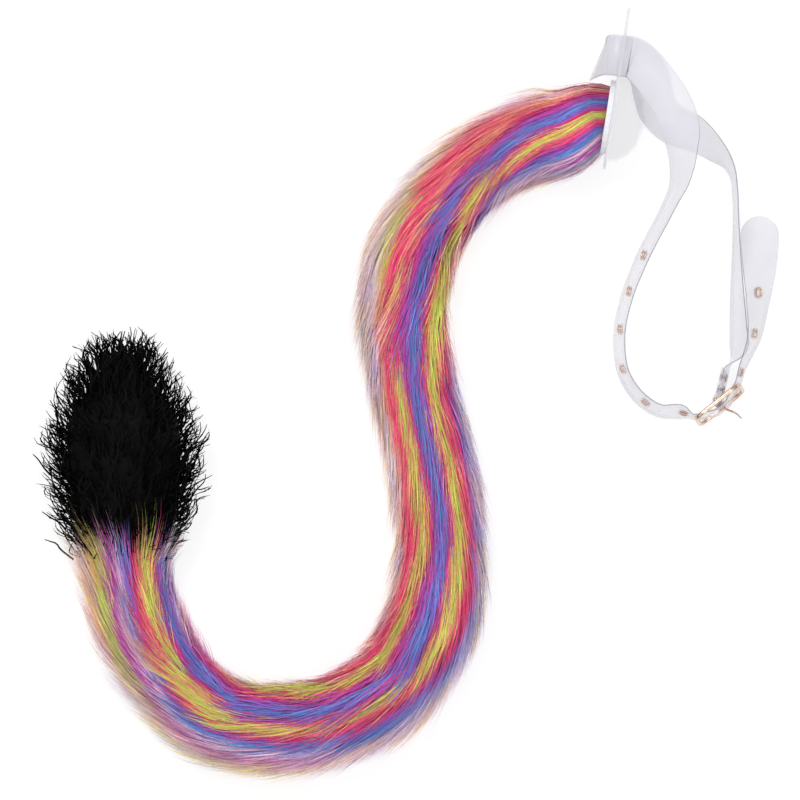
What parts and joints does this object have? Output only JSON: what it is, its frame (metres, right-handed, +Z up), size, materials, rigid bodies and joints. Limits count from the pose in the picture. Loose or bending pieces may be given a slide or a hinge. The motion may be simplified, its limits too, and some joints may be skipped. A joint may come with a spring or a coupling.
{
  "type": "costume animal tail on a waist belt",
  "caption": "Long S-curved furry costume tail with a black feathery tip, on a clear plate and a buckled clear waist strap, lying flat.",
  "frame": {"origin": "on the floor that the part lies on, in the middle of the plate's lower edge", "axes": "+Z up from the floor, +X from the tail to the wearer's side of the plate, +Y up the plate as it is worn, less 8.8 degrees"},
  "size_m": [0.5936, 0.6122, 0.084],
  "materials": {
    "striped_fur": "long striped faux fur in lime, pink, blue, purple and orange",
    "black_feather": "curly black feather strands",
    "white_disc": "matt white",
    "clear_vinyl": "clear soft vinyl with glossy cut edges",
    "rose_gold": "polished rose gold plating"
  },
  "bodies": {
    "root": {"tail_fur": "striped_fur", "tail_tip": "black_feather", "base_disc": "white_disc", "back_plate": "clear_vinyl", "back_pad": "clear_vinyl", "belt": "clear_vinyl", "eyelet_01": "rose_gold", "eyelet_02": "rose_gold", "eyelet_03": "rose_gold", "eyelet_04": "rose_gold", "eyelet_05": "rose_gold", "eyelet_06": "rose_gold", "eyelet_07": "rose_gold", "eyelet_08": "rose_gold", "eyelet_09": "rose_gold", "eyelet_10": "rose_gold", "rivet_1": "rose_gold", "rivet_2": "rose_gold", "buckle_frame": "rose_gold", "buckle_prong": "rose_gold"}
  },
  "joints": []
}
